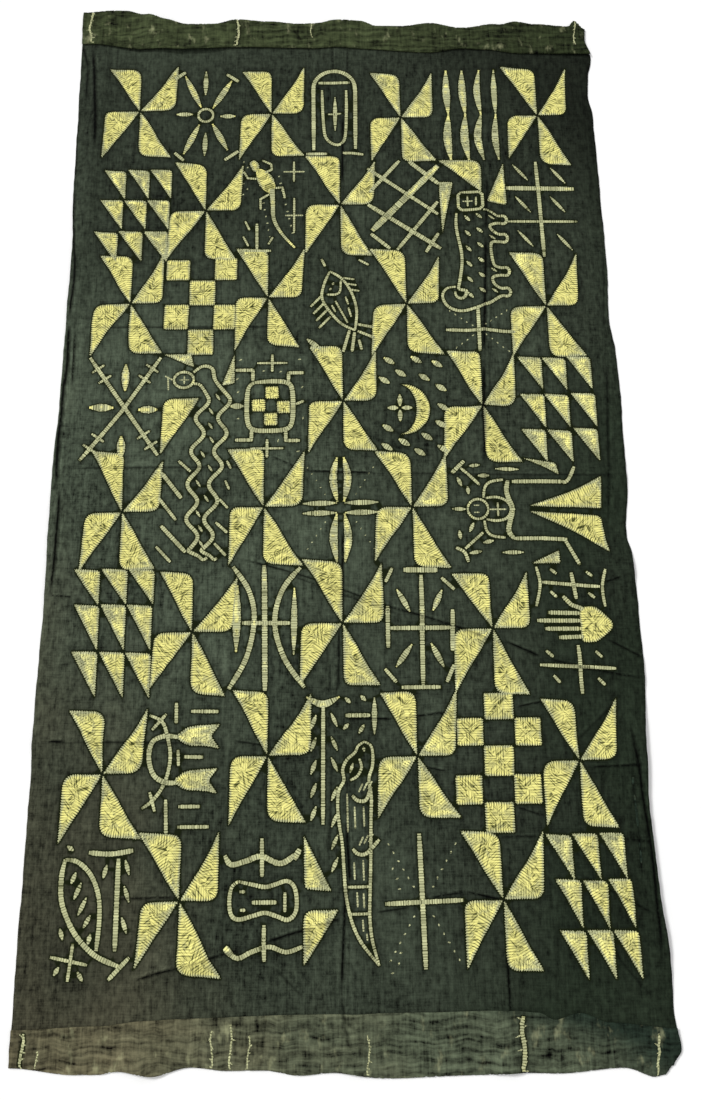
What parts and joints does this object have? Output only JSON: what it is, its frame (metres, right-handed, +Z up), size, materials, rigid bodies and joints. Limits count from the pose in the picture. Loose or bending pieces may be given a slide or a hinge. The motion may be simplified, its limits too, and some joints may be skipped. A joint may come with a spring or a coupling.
{
  "type": "tie-dye cloth",
  "caption": "Long flat length of thin dark cotton cloth with a stitched and dyed traditional pattern and a wide turned hem at each end, laid out on a surface.",
  "frame": {"origin": "centre of the bounding box's bottom face, on the surface that the cloth lies on", "axes": "+Y along the cloth's length towards its far end, +X across it, +Z up out of its patterned face"},
  "size_m": [1.2024, 2.291, 0.0165],
  "materials": {
    "dyed_cotton": "matt plain-woven cotton, dyed dark green-black with pale yellow-green undyed motifs"
  },
  "bodies": {
    "root": {"cloth": "dyed_cotton"}
  },
  "joints": []
}
